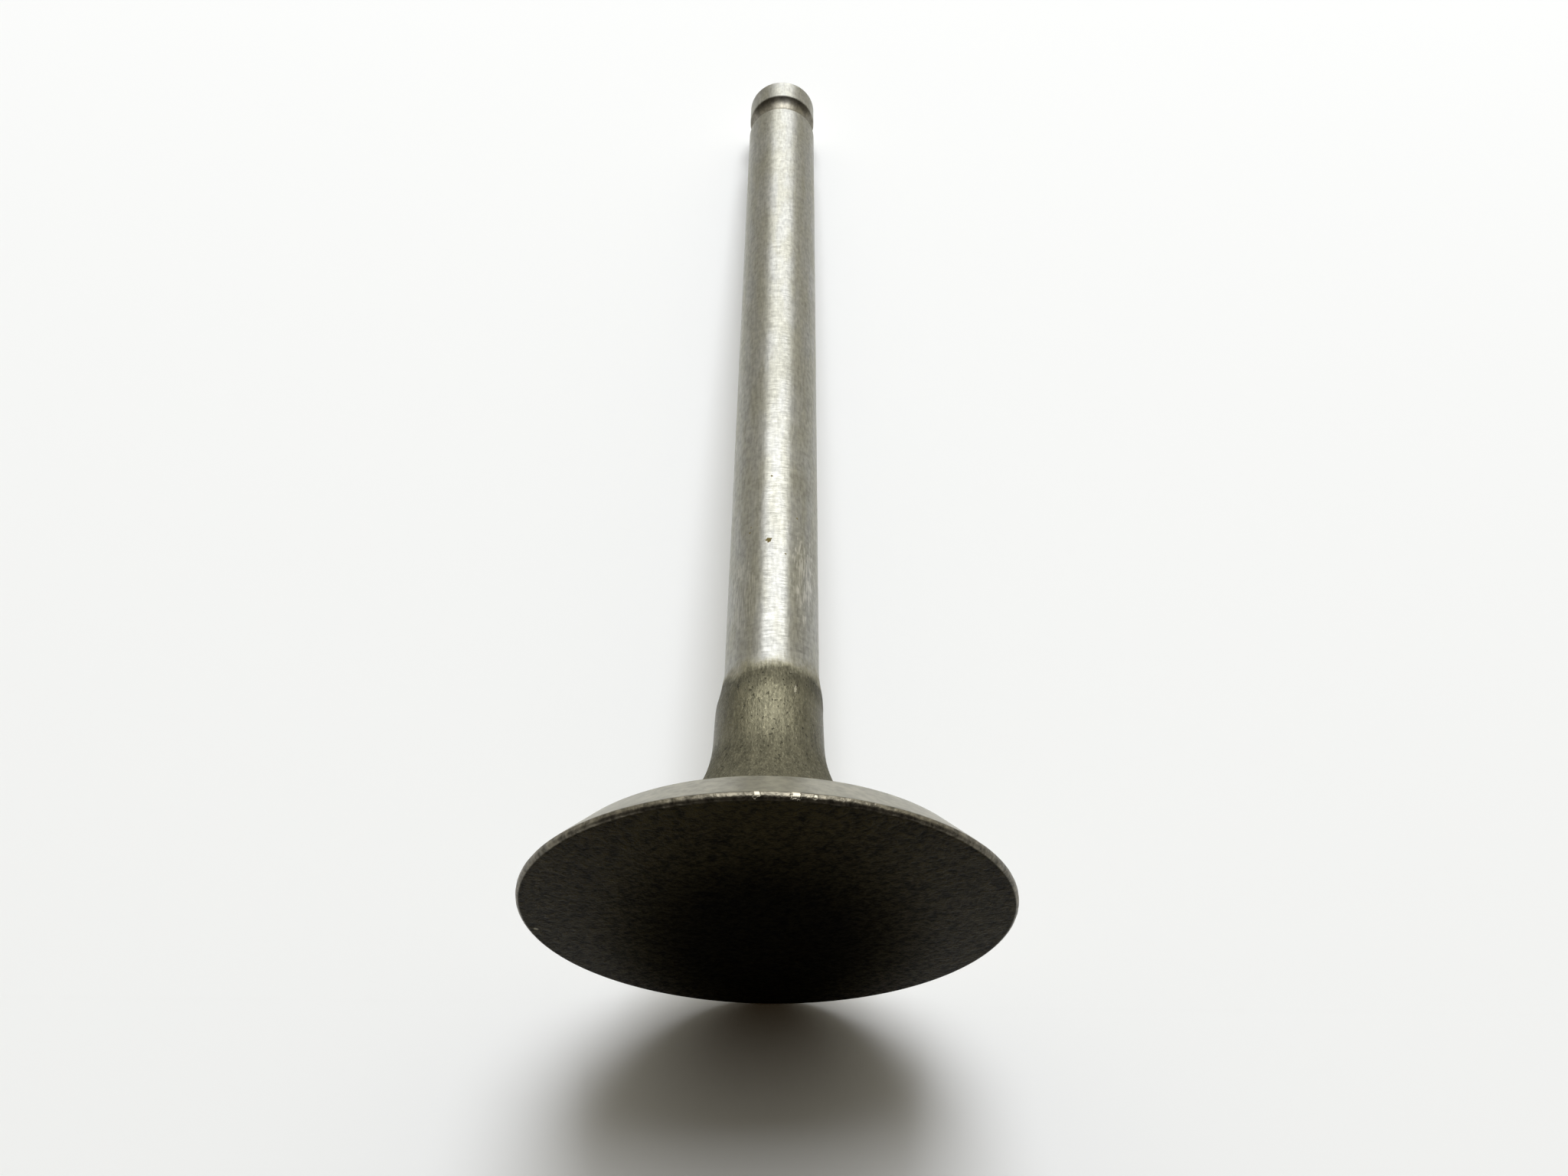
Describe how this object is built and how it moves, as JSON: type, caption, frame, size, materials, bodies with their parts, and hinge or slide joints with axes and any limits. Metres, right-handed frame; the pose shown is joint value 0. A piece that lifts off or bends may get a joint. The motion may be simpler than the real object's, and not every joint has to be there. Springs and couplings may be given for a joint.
{
  "type": "engine valve",
  "caption": "Poppet valve of a piston engine: a flat round head with a ground conical seat, a forged neck and a long ground stem with a keeper groove near its tip.",
  "frame": {"origin": "centre of the flat head face, on which the valve stands", "axes": "+Z along the stem, from the head towards the tip; the valve is round, so X and Y are free"},
  "size_m": [0.032, 0.032, 0.0954],
  "materials": {
    "valve_steel": "ground stem and seat, dull forged neck, dark oxidised head face"
  },
  "bodies": {
    "root": {"engine_valve": "valve_steel"}
  },
  "joints": []
}
